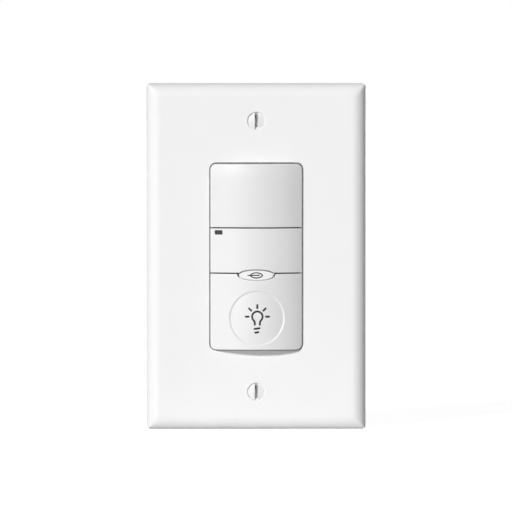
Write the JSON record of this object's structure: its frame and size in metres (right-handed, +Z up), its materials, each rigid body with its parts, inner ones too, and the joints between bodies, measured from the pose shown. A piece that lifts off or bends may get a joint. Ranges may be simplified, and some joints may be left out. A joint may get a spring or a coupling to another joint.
{
  "type": "motion sensor light switch",
  "caption": "Wall plate with a crowned motion sensor switch: infrared lens, indicator window, oval mode button and a pivoting light paddle over a strap and rear housing.",
  "frame": {"origin": "centre of the wall plate's back rim, in the wall plane", "axes": "+Z up, +Y into the wall, the face looks along -Y, +X to the right of someone facing it"},
  "size_m": [0.0786, 0.0439, 0.1238],
  "materials": {
    "plate_white": "satin gloss",
    "face_white": "satin gloss",
    "lens_white": "milky satin",
    "window_smoke": "polished smoke",
    "screw_white": "white enamel",
    "zinc_steel": "zinc plated",
    "fibre": "pressed fibre",
    "green_steel": "green plated",
    "frame_grey": "moulded",
    "housing_grey": "moulded, fine grain",
    "board_green": "solder mask",
    "can_metal": "plated can",
    "filter_black": "polished",
    "spacer_white": "moulded",
    "led_body": "diffuse",
    "chip_black": "moulded",
    "plunger_brown": "moulded",
    "relay_blue": "moulded",
    "film_yellow": "moulded",
    "sleeve_navy": "shrink sleeve",
    "disc_blue": "dipped",
    "coil_copper": "lacquered",
    "brass": "bright",
    "nickel": "nickel plated"
  },
  "bodies": {
    "device": {"wall_plate": "plate_white", "plate_screws": "screw_white", "mounting_strap": "zinc_steel", "box_screws": "zinc_steel", "screw_retainers": "fibre", "ground_screw": "green_steel", "front_frame": "frame_grey", "sensor_lens": "lens_white", "centre_panel": "face_white", "indicator_window": "window_smoke", "rear_housing": "housing_grey", "housing_screws": "zinc_steel", "sensor_board": "board_green", "detector_can": "can_metal", "detector_window": "filter_black", "detector_spacer": "spacer_white", "status_led": "led_body", "daylight_sensor": "led_body", "controller_chip": "chip_black", "paddle_switch": "chip_black", "mode_switch": "chip_black", "board_link": "chip_black", "power_board": "board_green", "relay": "relay_blue", "film_capacitor": "film_yellow", "storage_capacitor": "sleeve_navy", "varistor": "disc_blue", "choke": "coil_copper", "fuse": "chip_black", "line_terminal": "brass", "load_terminal": "brass", "neutral_terminal": "nickel", "terminal_screws": "brass"},
    "paddle": {"light_paddle": "face_white"},
    "mode_key": {"mode_button": "face_white"},
    "paddle_plunger_body": {"paddle_plunger": "plunger_brown"},
    "mode_plunger_body": {"mode_plunger": "plunger_brown"}
  },
  "joints": [
    {"name": "paddle_hinge", "type": "hinge", "parent": "device", "child": "paddle", "pos_m": [0, -0.0042, -0.0095], "axis": [1, 0, 0], "range_deg": [0, 2], "stiffness_Nm_per_rad": 0.3, "springref_deg": -3.44},
    {"name": "mode_press", "type": "slide", "parent": "device", "child": "mode_key", "axis": [0, 1, 0], "range_m": [0, 0.0005], "stiffness_N_per_m": 900, "springref_m": -0.001},
    {"name": "paddle_plunger_press", "type": "slide", "parent": "device", "child": "paddle_plunger_body", "axis": [0, 1, 0], "range_m": [0, 0.0005]},
    {"name": "mode_plunger_press", "type": "slide", "parent": "device", "child": "mode_plunger_body", "axis": [0, 1, 0], "range_m": [0, 0.0005]}
  ],
  "couplings": [
    {"joint": "paddle_plunger_press", "follows": "paddle_hinge", "m_per_rad": 0.0124},
    {"joint": "mode_plunger_press", "follows": "mode_press", "ratio": 1}
  ]
}
